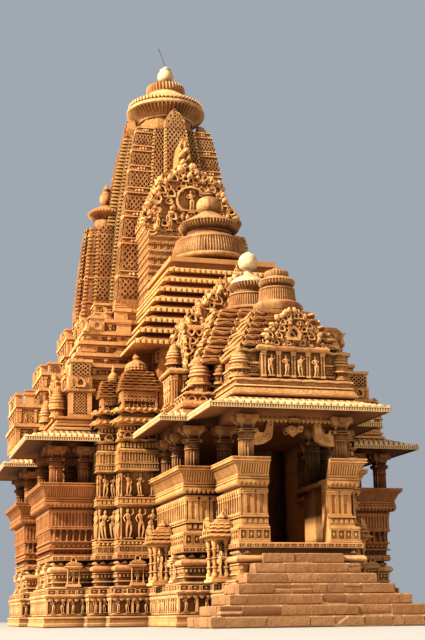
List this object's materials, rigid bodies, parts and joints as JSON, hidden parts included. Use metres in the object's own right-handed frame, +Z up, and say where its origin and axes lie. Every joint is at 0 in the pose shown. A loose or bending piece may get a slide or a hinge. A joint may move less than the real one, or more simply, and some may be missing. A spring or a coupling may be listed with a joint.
{
  "type": "hindu temple",
  "caption": "Carved sandstone temple with porch, fore-hall and great hall under stepped pyramid roofs, and a sanctum under a tall curved spire.",
  "frame": {"origin": "on the ground, at the middle of the whole building in plan", "axes": "+Z up; the entrance stair faces -Y and the sanctum lies towards +Y; +X is to the right of a visitor who walks in"},
  "size_m": [14.12, 26.359, 25.8],
  "materials": {
    "sandstone": "carved, weathered golden-brown sandstone",
    "pale_stone": "paler weathered sandstone",
    "dark_metal": "dark weathered metal"
  },
  "bodies": {
    "root": {"entrance_stairs": "sandstone", "porch_base": "sandstone", "forehall_base": "sandstone", "great_hall_base": "sandstone", "sanctum_base": "sandstone", "porch_parapet_right": "sandstone", "porch_parapet_left": "sandstone", "forehall_parapet_right": "sandstone", "forehall_parapet_left": "sandstone", "front_seat_back_right": "sandstone", "front_seat_back_left": "sandstone", "great_hall_front_wall_right": "sandstone", "great_hall_front_wall_left": "sandstone", "link_wall_right": "sandstone", "link_wall_left": "sandstone", "sanctum_rear_wall_right": "sandstone", "sanctum_rear_wall_left": "sandstone", "great_hall_balcony_right": "sandstone", "great_hall_balcony_left": "sandstone", "great_hall_seat_back_right": "sandstone", "great_hall_seat_back_left": "sandstone", "sanctum_balcony_right": "sandstone", "sanctum_balcony_left": "sandstone", "sanctum_seat_back_right": "sandstone", "sanctum_seat_back_left": "sandstone", "rear_balcony": "sandstone", "rear_seat_back": "sandstone", "porch_eave": "sandstone", "forehall_eave": "sandstone", "great_hall_eave_right": "sandstone", "great_hall_eave_left": "sandstone", "sanctum_eave_right": "sandstone", "sanctum_eave_left": "sandstone", "rear_eave": "sandstone", "entrance_arch": "sandstone", "porch_roof": "sandstone", "porch_bell": "sandstone", "forehall_roof": "sandstone", "forehall_bell": "pale_stone", "spire": "sandstone", "spire_crown": "pale_stone", "lightning_rod": "dark_metal", "half_spire_right": "sandstone", "half_spire_left": "sandstone", "half_spire_rear": "sandstone", "spire_front_gable": "sandstone", "great_hall_roof": "sandstone", "great_hall_bell": "sandstone", "sanctum_roof": "sandstone"}
  },
  "joints": []
}
